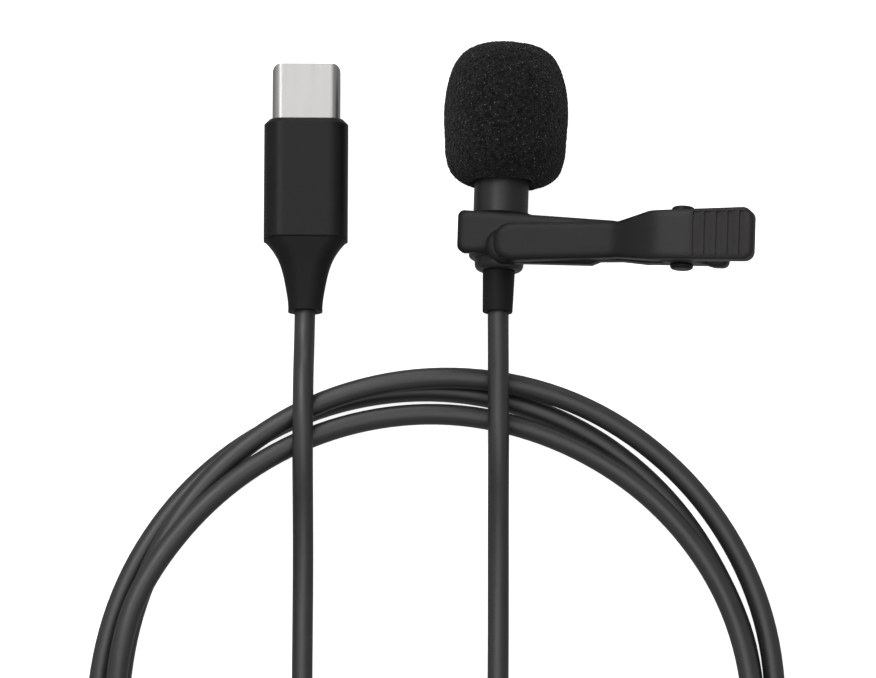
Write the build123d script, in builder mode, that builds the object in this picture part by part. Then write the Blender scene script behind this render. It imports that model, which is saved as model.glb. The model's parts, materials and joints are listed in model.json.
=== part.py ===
from build123d import *
import os
from math import cos, pi, radians, sin, tan

os.makedirs("parts", exist_ok=True)

# A clip-on lavalier microphone with a USB-C plug, lying on its side on a table.
# Millimetres, +Z up from the table. +X runs along the clip towards its finger pads, +Y along the
# microphone towards its windscreen. The origin is under the middle of the microphone and its clip.

# ---------------------------------------------------------------- driving dimensions
MIC_X = -11.46                  # the microphone's axis is parallel to Y
MIC_Z = 7.55                    # the windscreen rests on the table
HOUSING_R = 3.3
HOUSING_BORE_R = 2.8
HEAD_TOP = 9.6                  # upper end of the housing, inside the windscreen
FLANGE_R = 3.7
FLANGE_TOP = -8.75
FLANGE_LOW = -10.25
END_CAP_LOW = -11.7
RELIEF_LOW = -16.75
CORD_R = 1.28
CORD_BORE_R = CORD_R + 0.02
CORD_INNER_END = -7.6           # where the cord's jacket stops inside the housing

FOAM_R = 7.33
FOAM_TOP = 16.75
FOAM_LOW = -1.35
FOAM_BORE_R = HOUSING_R + 0.06

CAPSULE_R = 2.25
CAPSULE_TOP = 8.35
CAPSULE_LOW = 6.15
CAPSULE_WALL = 0.12

CLIP_SWING = 14.0               # degrees that the clip is swung up about the microphone
JAW_Y = -9.65                   # middle plane of the jaws
PLATE_FRONT = 4.75              # heights above the microphone's axis, square to the clip
PLATE_BACK = 3.85
TONGUE_FRONT = 6.2
JAW_GAP = 0.1
ARM_THICK = 2.0
PAD_RISE = 2.7                  # how far the front pad stands above the front jaw
PIN_U = 24.3                    # pivot pin: distance along the clip and height
PIN_W = 7.2
PIN_R = 0.75
PIN_HEAD_R = 1.4
EAR_R = 1.5
JAW_RUNNING_GAP = 0.05

PLUG_X = -34.69                 # the end of the plug's boot, on the plug's axis
PLUG_Y = -16.6
PLUG_LEAN = 1.65                # degrees between the plug's axis and +Y
PLUG_W = 10.2
PLUG_H = 6.4
PLUG_CORNER = 2.3
PLUG_WALL = 0.8
BOOT_LONG = 8.8
SLEEVE_LONG = 14.7
SHELL_W = 8.25                  # the standard plug's shell
SHELL_H = 2.4
SHELL_WALL = 0.3
SHELL_OUT = 7.0

COIL_X = -17.18                 # the large loose coil
COIL_Y = -65.8
COIL_MEAN_R = 38.7
COIL_WIDE = 7.0
COIL_HIGH = 5.0
BUNDLE_MEAN_R = 14.0            # the neat coil that holds the rest of the cord
BUNDLE_WIDE = 7.5
BUNDLE_HIGH = 7.5

# ---------------------------------------------------------------- frames of reference
MIC_AXIS = Axis((MIC_X, 0, MIC_Z), (0, 1, 0))
MIC_PLANE = Plane(origin=(MIC_X, 0, MIC_Z), x_dir=(1, 0, 0), z_dir=(0, 0, 1))


def mic_across(y):
    """The plane square to the microphone's axis at height y, facing the windscreen."""
    return Plane(origin=(MIC_X, y, MIC_Z), x_dir=(1, 0, 0), z_dir=(0, 1, 0))


CLIP_COS = cos(radians(CLIP_SWING))
CLIP_SIN = sin(radians(CLIP_SWING))


def clip_point(u, y, w):
    """World point of a place u along the clip, at y, and w above the microphone's axis."""
    return (MIC_X + u * CLIP_COS - w * CLIP_SIN, y, MIC_Z + u * CLIP_SIN + w * CLIP_COS)


def clip_side(y):
    """Side view of the clip: u to the right and w up, facing -Y."""
    return Plane(origin=(MIC_X, y, MIC_Z), x_dir=(CLIP_COS, 0, CLIP_SIN), z_dir=(0, -1, 0))


def clip_face(w):
    """Front view of the clip: u to the right and height above the jaws' middle plane up."""
    return Plane(
        origin=clip_point(0, JAW_Y, w), x_dir=(CLIP_COS, 0, CLIP_SIN), z_dir=(-CLIP_SIN, 0, CLIP_COS)
    )


PLUG_Z = PLUG_H / 2
PLUG_COS = cos(radians(PLUG_LEAN))
PLUG_SIN = sin(radians(PLUG_LEAN))


def plug_point(x, s, z):
    """World point of a place x across the plug, s along it from the boot's end, z above its axis."""
    return (PLUG_X + x * PLUG_COS - s * PLUG_SIN, PLUG_Y + x * PLUG_SIN + s * PLUG_COS, PLUG_Z + z)


def plug_across(s):
    """The plane square to the plug's axis, s along it. Its y is downwards."""
    return Plane(
        origin=plug_point(0, s, 0), x_dir=(PLUG_COS, PLUG_SIN, 0), z_dir=(-PLUG_SIN, PLUG_COS, 0)
    )


def plug_flat(z):
    """The plane level with the table, z above the plug's axis, with y along the plug."""
    return Plane(origin=plug_point(0, 0, z), x_dir=(PLUG_COS, PLUG_SIN, 0), z_dir=(0, 0, 1))


def save(piece, name):
    piece.part.label = name
    export_step(piece.part, f"parts/{name}.step")


# ---------------------------------------------------------------- windscreen
FOAM_BORE_TOP = HEAD_TOP + 0.9

with BuildPart() as windscreen:
    with BuildSketch(MIC_PLANE):
        with BuildLine():
            Line((0, FOAM_BORE_TOP), (0, FOAM_TOP))
            Spline(
                [
                    (0, FOAM_TOP),
                    (4.5, 15.6),
                    (6.6, 13.15),
                    (FOAM_R, 8.2),
                    (6.98, 2.1),
                    (5.7, -0.4),
                    (4.3, FOAM_LOW + 0.2),
                ],
                tangents=[(1, 0), (-1, -0.35)],
            )
            Line((4.3, FOAM_LOW + 0.2), (FOAM_BORE_R + 0.3, FOAM_LOW))
            Line((FOAM_BORE_R + 0.3, FOAM_LOW), (FOAM_BORE_R, FOAM_LOW + 0.3))
            Line((FOAM_BORE_R, FOAM_LOW + 0.3), (FOAM_BORE_R, FOAM_BORE_TOP))
            Line((FOAM_BORE_R, FOAM_BORE_TOP), (0, FOAM_BORE_TOP))
        make_face()
    revolve(axis=MIC_AXIS)
save(windscreen, "windscreen")

# ---------------------------------------------------------------- microphone housing
SKIRT_IN_R = 2.4
SKIRT_LOW = 8.8
GRILLE_THICK = 0.5
GRILLE_HOLE_R = 0.28

with BuildPart() as mic_housing:
    with BuildSketch(mic_across(FLANGE_TOP)):
        Circle(HOUSING_R)
    extrude(amount=HEAD_TOP - FLANGE_TOP)
    with BuildSketch(mic_across(FLANGE_LOW)):
        Circle(FLANGE_R)
    extrude(amount=FLANGE_TOP - FLANGE_LOW)
    fillet(mic_housing.edges().filter_by(GeomType.CIRCLE).group_by(Axis.Y)[0], 0.5)
    with BuildSketch(mic_across(FLANGE_LOW)):
        Circle(HOUSING_BORE_R)
    extrude(amount=HEAD_TOP - FLANGE_LOW, mode=Mode.SUBTRACT)
save(mic_housing, "mic_housing")

with BuildPart() as grille_cap:
    with BuildSketch(mic_across(HEAD_TOP)):
        Circle(HOUSING_R)
    extrude(amount=GRILLE_THICK)
    chamfer(grille_cap.edges().filter_by(GeomType.CIRCLE).group_by(Axis.Y)[-1], 0.2)
    with BuildSketch(mic_across(SKIRT_LOW)):
        Circle(HOUSING_BORE_R - 0.01)
        Circle(SKIRT_IN_R, mode=Mode.SUBTRACT)
    extrude(amount=HEAD_TOP - SKIRT_LOW)
    with BuildSketch(mic_across(HEAD_TOP)):
        Circle(GRILLE_HOLE_R)
        with PolarLocations(0.95, 6):
            Circle(GRILLE_HOLE_R)
        with PolarLocations(1.85, 12):
            Circle(GRILLE_HOLE_R)
    extrude(amount=GRILLE_THICK, mode=Mode.SUBTRACT)
save(grille_cap, "grille_cap")

with BuildPart() as dust_mesh:
    with BuildSketch(mic_across(HEAD_TOP - 0.12)):
        Circle(SKIRT_IN_R - 0.02)
    extrude(amount=0.12)
save(dust_mesh, "dust_mesh")

# ---------------------------------------------------------------- electret capsule in its rubber boot
BOOT_LIP_R = 1.6
FELT_THICK = 0.25
CAN_BORE_R = CAPSULE_R - CAPSULE_WALL
RING_IN_R = 1.7
STACK_R = CAN_BORE_R - 0.03
BOARD_LOW = CAPSULE_LOW + 0.2
BOARD_THICK = 0.4
FILM_LEVEL = CAPSULE_TOP - CAPSULE_WALL - 0.25
FILM_THICK = 0.05
SPACER_THICK = 0.07
BACK_PLATE_THICK = 0.2
BACK_PLATE_LOW = FILM_LEVEL - SPACER_THICK - BACK_PLATE_THICK

with BuildPart() as capsule_boot:
    with BuildSketch(mic_across(CAPSULE_LOW - 0.5)):
        Circle(HOUSING_BORE_R - 0.01)
        Circle(CAPSULE_R + 0.01, mode=Mode.SUBTRACT)
    extrude(amount=SKIRT_LOW - CAPSULE_LOW + 0.5)
    with BuildSketch(mic_across(CAPSULE_LOW - 0.5)):
        Circle(HOUSING_BORE_R - 0.01)
        Circle(BOOT_LIP_R, mode=Mode.SUBTRACT)
    extrude(amount=0.5)
save(capsule_boot, "capsule_boot")

with BuildPart() as capsule_felt:
    with BuildSketch(mic_across(CAPSULE_TOP)):
        Circle(CAPSULE_R - 0.05)
    extrude(amount=FELT_THICK)
save(capsule_felt, "capsule_felt")

with BuildPart() as capsule_can:
    with BuildSketch(mic_across(CAPSULE_LOW)):
        Circle(CAPSULE_R)
    extrude(amount=CAPSULE_TOP - CAPSULE_LOW)
    with BuildSketch(mic_across(BOARD_LOW)):
        Circle(CAN_BORE_R)
    extrude(amount=CAPSULE_TOP - CAPSULE_WALL - BOARD_LOW, mode=Mode.SUBTRACT)
    with BuildSketch(mic_across(CAPSULE_LOW)):
        Circle(1.8)
    extrude(amount=BOARD_LOW - CAPSULE_LOW, mode=Mode.SUBTRACT)
    with BuildSketch(mic_across(CAPSULE_TOP - CAPSULE_WALL)):
        with PolarLocations(0.8, 3):
            Circle(0.25)
    extrude(amount=CAPSULE_WALL, mode=Mode.SUBTRACT)
save(capsule_can, "capsule_can")

with BuildPart() as diaphragm:
    with BuildSketch(mic_across(FILM_LEVEL)):
        Circle(STACK_R)
    extrude(amount=FILM_THICK)
    with BuildSketch(mic_across(FILM_LEVEL + FILM_THICK)):
        Circle(STACK_R)
        Circle(RING_IN_R, mode=Mode.SUBTRACT)
    extrude(amount=0.2)
save(diaphragm, "diaphragm")

with BuildPart() as diaphragm_spacer:
    with BuildSketch(mic_across(FILM_LEVEL - SPACER_THICK)):
        Circle(STACK_R)
        Circle(RING_IN_R, mode=Mode.SUBTRACT)
    extrude(amount=SPACER_THICK)
save(diaphragm_spacer, "diaphragm_spacer")

with BuildPart() as back_plate:
    with BuildSketch(mic_across(BACK_PLATE_LOW)):
        Circle(STACK_R)
        with PolarLocations(1.0, 4):
            Circle(0.2, mode=Mode.SUBTRACT)
    extrude(amount=BACK_PLATE_THICK)
save(back_plate, "back_plate")

with BuildPart() as back_chamber:
    with BuildSketch(mic_across(BOARD_LOW + BOARD_THICK)):
        Circle(STACK_R)
        Circle(1.5, mode=Mode.SUBTRACT)
    extrude(amount=BACK_PLATE_LOW - BOARD_LOW - BOARD_THICK)
save(back_chamber, "back_chamber")

with BuildPart() as gate_ring:
    with BuildSketch(mic_across(BOARD_LOW + BOARD_THICK)):
        Circle(1.48)
        Circle(1.25, mode=Mode.SUBTRACT)
    extrude(amount=BACK_PLATE_LOW - BOARD_LOW - BOARD_THICK)
save(gate_ring, "gate_ring")

with BuildPart() as capsule_board:
    with BuildSketch(mic_across(BOARD_LOW)):
        Circle(STACK_R)
    extrude(amount=BOARD_THICK)
save(capsule_board, "capsule_board")

with BuildPart() as capsule_transistor:
    with BuildSketch(mic_across(BOARD_LOW + BOARD_THICK)):
        Rectangle(1.2, 0.8)
    extrude(amount=0.5)
save(capsule_transistor, "capsule_transistor")

WIRE_R = 0.28
WIRE_SPACING = 1.3

with BuildPart() as mic_wires:
    with BuildSketch(mic_across(CORD_INNER_END)):
        with GridLocations(WIRE_SPACING, 1, 2, 1):
            Circle(WIRE_R)
    extrude(amount=BOARD_LOW - CORD_INNER_END)
save(mic_wires, "mic_wires")

# ---------------------------------------------------------------- lower end of the microphone
FERRULE_LONG = 1.6
SPIGOT_TOP = -9.3

with BuildPart() as cord_ferrule:
    with BuildSketch(mic_across(CORD_INNER_END - FERRULE_LONG)):
        Circle(1.75)
        Circle(CORD_BORE_R, mode=Mode.SUBTRACT)
    extrude(amount=FERRULE_LONG)
save(cord_ferrule, "cord_ferrule")

with BuildPart() as mic_end_cap:
    with BuildSketch(MIC_PLANE):
        with BuildLine():
            Polyline(
                (CORD_BORE_R, SPIGOT_TOP),
                (HOUSING_BORE_R - 0.01, SPIGOT_TOP),
                (HOUSING_BORE_R - 0.01, FLANGE_LOW),
                (3.05, FLANGE_LOW),
                (2.95, FLANGE_LOW - 0.6),
            )
            ThreePointArc((2.95, FLANGE_LOW - 0.6), (2.72, END_CAP_LOW + 0.22), (2.1, END_CAP_LOW))
            Polyline((2.1, END_CAP_LOW), (CORD_BORE_R, END_CAP_LOW), (CORD_BORE_R, SPIGOT_TOP))
        make_face()
    revolve(axis=MIC_AXIS)
save(mic_end_cap, "mic_end_cap")

with BuildPart() as mic_strain_relief:
    with BuildSketch(MIC_PLANE):
        with BuildLine():
            Polyline(
                (CORD_BORE_R, END_CAP_LOW),
                (1.95, END_CAP_LOW),
                (1.82, RELIEF_LOW + 0.08),
                (1.76, RELIEF_LOW),
                (CORD_BORE_R, RELIEF_LOW),
                close=True,
            )
        make_face()
    revolve(axis=MIC_AXIS)
save(mic_strain_relief, "mic_strain_relief")

# ---------------------------------------------------------------- clip: rear arm with the ring
RING_R = 4.3
RING_BORE_R = HOUSING_R + 0.05
RING_LOW = FLANGE_TOP + 0.05
RING_TOP = -5.0
PLATE_LEFT = -4.12
PLATE_TOP = 4.68                # heights from the jaws' middle plane
PLATE_LOW = -0.57
NECK_U = 15.5
TONGUE_TIP_U = -0.25
TONGUE_HALF = 2.05
REAR_PAD_END = 29.2
REAR_PAD_HALF = 2.65
SLOT_HALF = 0.9                 # the ring is open at the back, to spring over the housing
EAR_THICK = 0.55

TONGUE_WIDE = 2.45              # half the tongue's width at its step
PIVOT_HALF = 2.42
TOOTH_PITCH = 1.1
TOOTH_COUNT = 4
TOOTH_HIGH = 0.25
TONGUE_FLOOR = TONGUE_FRONT - TOOTH_HIGH
WIDE = 30.0                     # longer than any part of the clip is wide

with BuildPart() as rear_beam:
    # side view: the tongue behind the jaw, then the pad that slopes away from the front pad
    with BuildSketch(clip_side(JAW_Y)):
        with BuildLine():
            FilletPolyline(
                (TONGUE_TIP_U, PLATE_FRONT - 0.3),
                (TONGUE_TIP_U, TONGUE_FLOOR),
                (20.5, TONGUE_FLOOR),
                (REAR_PAD_END, 3.9),
                (REAR_PAD_END, 2.4),
                (20.5, PLATE_FRONT - 0.6),
                (6.0, PLATE_FRONT - 0.3),
                radius=[0.1, 0.2, 8.0, 0.3, 0.3, 8.0, 3.0],
                close=True,
            )
        make_face()
    extrude(amount=WIDE / 2, both=True)
    # outline from the front: round tip, a step, then the pivot and the pad
    with BuildSketch(clip_face(0)):
        with BuildLine():
            tip = CenterArc((TONGUE_TIP_U + TONGUE_HALF, 0), TONGUE_HALF, 90, 180)
            upper = FilletPolyline(
                tip @ 0,
                (12.5, TONGUE_WIDE),
                (16.5, 2.1),
                (19.5, PIVOT_HALF),
                (26.6, PIVOT_HALF),
                (27.4, REAR_PAD_HALF),
                (REAR_PAD_END, REAR_PAD_HALF),
                (REAR_PAD_END, -REAR_PAD_HALF),
                (27.4, -REAR_PAD_HALF),
                (26.6, -PIVOT_HALF),
                (19.5, -PIVOT_HALF),
                (16.5, -2.05),
                (13.7, -2.03),
                (12.6, -TONGUE_WIDE),
                tip @ 1,
                radius=[3.0, 2.0, 2.0, 0.3, 0.3, 0.9, 0.9, 0.3, 0.3, 2.0, 2.0, 0.4, 0.4],
            )
        make_face()
    extrude(amount=WIDE, mode=Mode.INTERSECT)

with BuildPart() as clip_rear_arm:
    # plate across the front of the ring, tapering to the neck
    with BuildSketch(clip_face(PLATE_BACK)):
        with BuildLine():
            FilletPolyline(
                (0, PLATE_LOW),
                (PLATE_LEFT, PLATE_LOW),
                (PLATE_LEFT, PLATE_TOP),
                (NECK_U, 3.0),
                (NECK_U + 3.0, 1.8),
                (NECK_U + 3.0, -1.2),
                (6.0, -1.2),
                radius=[0.3, 0.9, 0.75, 3.0, 0.5, 0.5, 1.0],
                close=True,
            )
        make_face()
    extrude(amount=PLATE_FRONT - PLATE_BACK)
    # ring round the microphone
    with BuildSketch(mic_across(RING_LOW)):
        Circle(RING_R)
    extrude(amount=RING_TOP - RING_LOW)
    add(rear_beam.part)
    # ears that carry the pivot pin
    for side in (-1, 1):
        with BuildSketch(clip_side(JAW_Y + side * (PIVOT_HALF - EAR_THICK / 2))):
            with BuildLine():
                Polyline(
                    (PIN_U - EAR_R, PIN_W),
                    (PIN_U - EAR_R - 1.0, 4.2),
                    (PIN_U + EAR_R + 1.0, 4.0),
                    (PIN_U + EAR_R, PIN_W),
                    close=True,
                )
            make_face()
            with Locations((PIN_U, PIN_W)):
                Circle(EAR_R)
        extrude(amount=EAR_THICK / 2, both=True)
    # teeth across the tongue
    for tooth in range(TOOTH_COUNT):
        with BuildSketch(clip_side(JAW_Y)):
            with BuildLine():
                start = 1.2 + tooth * TOOTH_PITCH
                Polyline(
                    (start, TONGUE_FLOOR),
                    (start + TOOTH_PITCH / 2, TONGUE_FRONT),
                    (start + TOOTH_PITCH, TONGUE_FLOOR),
                    close=True,
                )
            make_face()
        extrude(amount=TONGUE_HALF - 0.6, both=True)
    # holes for the microphone and the pin, and the slot that lets the ring spring open
    with BuildSketch(mic_across(-WIDE)):
        Circle(RING_BORE_R)
    extrude(amount=WIDE, mode=Mode.SUBTRACT)
    with BuildSketch(clip_face(-RING_R - 1)):
        with Locations((0, (RING_LOW + RING_TOP) / 2 - JAW_Y)):
            Rectangle(2 * SLOT_HALF, RING_TOP - RING_LOW + 1)
    extrude(amount=RING_R, mode=Mode.SUBTRACT)
    with BuildSketch(clip_side(JAW_Y)):
        with Locations((PIN_U, PIN_W)):
            Circle(PIN_R)
    extrude(amount=WIDE / 2, both=True, mode=Mode.SUBTRACT)
save(clip_rear_arm, "clip_rear_arm")

# ---------------------------------------------------------------- clip: front arm
FRONT_TIP_U = 1.1
FRONT_HALF = 2.25
FRONT_END_U = 33.74
PAD_HALF = 3.16
FRONT_EAR_IN = PIVOT_HALF + JAW_RUNNING_GAP
JAW_BACK = TONGUE_FRONT + JAW_GAP
JAW_CEILING = JAW_BACK + TOOTH_HIGH
JAW_FACE = JAW_BACK + ARM_THICK
PAD_BACK = JAW_BACK + PAD_RISE
PAD_FACE = PAD_BACK + ARM_THICK
RIB_PITCH = 1.43
RIB_COUNT = 5
RIB_DEPTH = 0.25
FIRST_RIB_U = 26.35

with BuildPart() as clip_front_arm:
    # side view: the jaw, the bend at the neck, and the pad, parallel to the jaw
    with BuildSketch(clip_side(JAW_Y)):
        with BuildLine():
            FilletPolyline(
                (FRONT_TIP_U, JAW_CEILING),
                (15.6, JAW_CEILING),
                (20.8, PAD_BACK),
                (FRONT_END_U, PAD_BACK),
                (FRONT_END_U, PAD_FACE),
                (21.4, PAD_FACE),
                (16.4, JAW_FACE),
                (FRONT_TIP_U, JAW_FACE),
                radius=[0.2, 4.0, 4.0, 0.4, 0.7, 4.0, 4.0, 0.7],
                close=True,
            )
        make_face()
    extrude(amount=WIDE / 2, both=True)
    # outline from the front: round tip, narrow arm, and the flare to the pad
    with BuildSketch(clip_face(0)):
        with BuildLine():
            front_tip = CenterArc((FRONT_TIP_U + FRONT_HALF, 0), FRONT_HALF, 90, 180)
            FilletPolyline(
                front_tip @ 0,
                (16.4, 2.12),
                (21.0, 2.92),
                (FRONT_END_U, PAD_HALF),
                (FRONT_END_U, -PAD_HALF),
                (21.0, -2.92),
                (16.4, -2.12),
                front_tip @ 1,
                radius=[4.0, 2.5, 1.3, 1.3, 2.5, 4.0],
            )
        make_face()
    extrude(amount=WIDE, mode=Mode.INTERSECT)
    # ears that turn on the pivot pin, outside the rear arm's ears
    for side in (-1, 1):
        with BuildSketch(clip_side(JAW_Y + side * (FRONT_EAR_IN + EAR_THICK / 2))):
            with BuildLine():
                Polyline(
                    (PIN_U - EAR_R, PIN_W),
                    (PIN_U - EAR_R - 0.6, PAD_BACK + 0.3),
                    (PIN_U + EAR_R + 0.6, PAD_BACK + 0.3),
                    (PIN_U + EAR_R, PIN_W),
                    close=True,
                )
            make_face()
            with Locations((PIN_U, PIN_W)):
                Circle(EAR_R)
        extrude(amount=EAR_THICK / 2, both=True)
    # teeth under the jaw, half a pitch from the tongue's
    for tooth in range(TOOTH_COUNT - 1):
        with BuildSketch(clip_side(JAW_Y)):
            with BuildLine():
                start = 1.75 + tooth * TOOTH_PITCH
                Polyline(
                    (start, JAW_CEILING),
                    (start + TOOTH_PITCH / 2, JAW_BACK),
                    (start + TOOTH_PITCH, JAW_CEILING),
                    close=True,
                )
            make_face()
        extrude(amount=FRONT_HALF - 0.6, both=True)
    # finger ribs: each groove is cut square on its left and slopes up to its right
    for rib in range(RIB_COUNT):
        with BuildSketch(clip_side(JAW_Y)):
            with BuildLine():
                start = FIRST_RIB_U + rib * RIB_PITCH
                Polyline(
                    (start, PAD_FACE + 0.1),
                    (start, PAD_FACE - RIB_DEPTH),
                    (start + RIB_PITCH * 0.95, PAD_FACE),
                    (start + RIB_PITCH * 0.95, PAD_FACE + 0.1),
                    close=True,
                )
            make_face()
        extrude(amount=PAD_HALF - 0.45, both=True, mode=Mode.SUBTRACT)
    with BuildSketch(clip_side(JAW_Y)):
        with Locations((PIN_U, PIN_W)):
            Circle(PIN_R + 0.04)
    extrude(amount=WIDE / 2, both=True, mode=Mode.SUBTRACT)
save(clip_front_arm, "clip_front_arm")

# ---------------------------------------------------------------- clip: pin and spring
PIN_HALF = FRONT_EAR_IN + EAR_THICK + JAW_RUNNING_GAP
LOWER_HEAD = 0.55
UPPER_HEAD = 0.95

with BuildPart() as pivot_pin:
    with BuildSketch(clip_side(JAW_Y)):
        with Locations((PIN_U, PIN_W)):
            Circle(PIN_R)
    extrude(amount=PIN_HALF, both=True)
    for side, head in ((-1, LOWER_HEAD), (1, UPPER_HEAD)):
        with BuildSketch(clip_side(JAW_Y + side * (PIN_HALF + head / 2))):
            with Locations((PIN_U, PIN_W)):
                Circle(PIN_HEAD_R)
        extrude(amount=head / 2, both=True)
    ends = pivot_pin.edges().filter_by(GeomType.CIRCLE).sort_by(Axis.Y)
    fillet([ends[0], ends[-1]], 0.4)
save(pivot_pin, "pivot_pin")

SPRING_WIRE_R = 0.22
SPRING_R = 1.2
SPRING_PITCH = 0.5
SPRING_TURNS = 5
LEG_START = 0.03                # the legs are separate lengths, set just clear of the coil's ends
LOWER_LEG = (22.0, 4.1)         # degrees below the clip's line, and length
UPPER_LEG = (4.0, 5.0)          # degrees above it, and length


def leg_start(angle, side):
    """Where a leg leaves the coil: the tangent point of a leg that slopes by angle."""
    return (PIN_U - SPRING_R * sin(radians(angle)), PIN_W + side * SPRING_R * cos(radians(angle)))


SPRING_LOW = leg_start(LOWER_LEG[0], -1)
SPRING_UP = leg_start(UPPER_LEG[0], 1)
SPRING_SWEEP = 360 * SPRING_TURNS + 180 - LOWER_LEG[0] - UPPER_LEG[0]
SPRING_LONG = SPRING_PITCH * SPRING_SWEEP / 360
SPRING_Y0 = JAW_Y - SPRING_LONG / 2
START_ANGLE = -90 - LOWER_LEG[0] + CLIP_SWING

with BuildPart() as spring_coil:
    with BuildLine() as spring_line:
        Helix(SPRING_PITCH, SPRING_LONG, SPRING_R)
    with BuildSketch(Plane(origin=spring_line.line @ 0, z_dir=spring_line.line % 0)):
        Circle(SPRING_WIRE_R)
    sweep(path=spring_line.line, is_frenet=True)

COIL_START = Plane(
    origin=clip_point(PIN_U, SPRING_Y0, PIN_W),
    x_dir=(cos(radians(START_ANGLE)), 0, sin(radians(START_ANGLE))),
    z_dir=(0, 1, 0),
)

with BuildPart() as torsion_spring:
    with Locations(COIL_START.location):
        add(spring_coil.part)
    for start, (angle, length), side, y in (
        (SPRING_LOW, LOWER_LEG, -1, SPRING_Y0),
        (SPRING_UP, UPPER_LEG, 1, SPRING_Y0 + SPRING_LONG),
    ):
        slope = radians(CLIP_SWING + side * angle)
        along = Vector(cos(slope), 0, sin(slope))
        foot = Vector(*clip_point(start[0], y, start[1])) + along * LEG_START
        with BuildSketch(Plane(origin=foot, z_dir=along)):
            Circle(SPRING_WIRE_R)
        extrude(amount=length)
save(torsion_spring, "torsion_spring")

# ---------------------------------------------------------------- plug: standard shell and what it holds
SLEEVE_LOW = BOOT_LONG
SLEEVE_TOP = BOOT_LONG + SLEEVE_LONG
SHELL_BACK = SLEEVE_TOP - 3.0
SHELL_TOP = SLEEVE_TOP + SHELL_OUT
MOUTH_CORNER = 0.95
CAVITY_W = 6.8
CAVITY_H = 0.8
CAVITY_DEEP = 5.2
CONTACT_COUNT = 12
CONTACT_PITCH = 0.5
CONTACT_W = 0.26
CONTACT_THICK = 0.12
CONTACT_TOP = SHELL_TOP - 1.0
BOARD_W = 7.4
BOARD_BACK = 13.0
BOARD_FRONT = SHELL_BACK - 0.1
TAIL_BACK = BOARD_FRONT - 1.0
LATCH_THICK = 0.16

with BuildPart() as plug_shell:
    with BuildSketch(plug_across(SHELL_BACK)):
        SlotOverall(SHELL_W, SHELL_H)
        SlotOverall(SHELL_W - 2 * SHELL_WALL, SHELL_H - 2 * SHELL_WALL, mode=Mode.SUBTRACT)
    extrude(amount=SHELL_TOP - SHELL_BACK)
    with BuildSketch(plug_flat(-SHELL_H)):
        with BuildLine():
            FilletPolyline(
                (-SHELL_W / 2, SHELL_BACK),
                (SHELL_W / 2, SHELL_BACK),
                (SHELL_W / 2, SHELL_TOP),
                (-SHELL_W / 2, SHELL_TOP),
                radius=[0.02, 0.02, MOUTH_CORNER, MOUTH_CORNER],
                close=True,
            )
        make_face()
    extrude(amount=2 * SHELL_H, mode=Mode.INTERSECT)
save(plug_shell, "plug_shell")

with BuildPart() as plug_insulator:
    with BuildSketch(plug_across(SHELL_BACK)):
        SlotOverall(SHELL_W - 2 * SHELL_WALL - 0.02, SHELL_H - 2 * SHELL_WALL - 0.02)
    extrude(amount=SHELL_OUT + 2.2)
    with BuildSketch(plug_across(SHELL_BACK + SHELL_OUT + 2.2)):
        Rectangle(CAVITY_W, CAVITY_H)
    extrude(amount=-CAVITY_DEEP, mode=Mode.SUBTRACT)
    for side in (-1, 1):
        with BuildSketch(plug_across(SHELL_BACK)):
            with Locations((0, side * (CAVITY_H + CONTACT_THICK) / 2)):
                with GridLocations(CONTACT_PITCH, 1, CONTACT_COUNT, 1):
                    Rectangle(CONTACT_W + 0.02, CONTACT_THICK + 0.01)
        extrude(amount=CONTACT_TOP - SHELL_BACK, mode=Mode.SUBTRACT)
    with BuildSketch(plug_across(SHELL_BACK)):
        Rectangle(BOARD_W, LATCH_THICK + 0.02)
    extrude(amount=SHELL_OUT + 2.2, mode=Mode.SUBTRACT)
save(plug_insulator, "plug_insulator")

for name, side in (("contacts_lower", 1), ("contacts_upper", -1)):
    with BuildPart() as contacts:
        with BuildSketch(plug_across(TAIL_BACK)):
            with Locations((0, side * (CAVITY_H + CONTACT_THICK) / 2)):
                with GridLocations(CONTACT_PITCH, 1, CONTACT_COUNT, 1):
                    Rectangle(CONTACT_W, CONTACT_THICK - 0.01)
        extrude(amount=CONTACT_TOP - TAIL_BACK)
    save(contacts, name)

with BuildPart() as latch_spring:
    with BuildSketch(plug_flat(-LATCH_THICK / 2)):
        with Locations((0, (SHELL_BACK + CONTACT_TOP) / 2)):
            Rectangle(BOARD_W - 0.04, CONTACT_TOP - SHELL_BACK)
        with Locations((0, (SHELL_BACK + CONTACT_TOP) / 2 + 1.6)):
            Rectangle(CAVITY_W - 0.6, CONTACT_TOP - SHELL_BACK, mode=Mode.SUBTRACT)
    extrude(amount=LATCH_THICK)
save(latch_spring, "latch_spring")

with BuildPart() as plug_board:
    with BuildSketch(plug_flat(-CAVITY_H / 2)):
        with Locations((0, (BOARD_BACK + BOARD_FRONT) / 2)):
            Rectangle(BOARD_W, BOARD_FRONT - BOARD_BACK)
    extrude(amount=CAVITY_H)
save(plug_board, "plug_board")

with BuildPart() as codec_chip:
    with BuildSketch(plug_flat(CAVITY_H / 2)):
        with Locations((0, BOARD_BACK + 3.9)):
            Rectangle(3.0, 3.0)
    extrude(amount=0.75)
save(codec_chip, "codec_chip")

with BuildPart() as board_passives:
    with BuildSketch(plug_flat(CAVITY_H / 2)):
        with Locations((-2.7, BOARD_BACK + 3.9), (2.7, BOARD_BACK + 3.9)):
            with GridLocations(1, 1.3, 1, 3):
                Rectangle(1.0, 0.5)
    extrude(amount=0.45)
    with BuildSketch(plug_flat(-CAVITY_H / 2)):
        with Locations((0, BOARD_BACK + 3.4)):
            with GridLocations(1.8, 1.5, 3, 2):
                Rectangle(1.0, 0.5)
    extrude(amount=-0.45)
save(board_passives, "board_passives")

PLUG_CORD_END = 11.8
PLUG_FERRULE_LONG = 1.2

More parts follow.
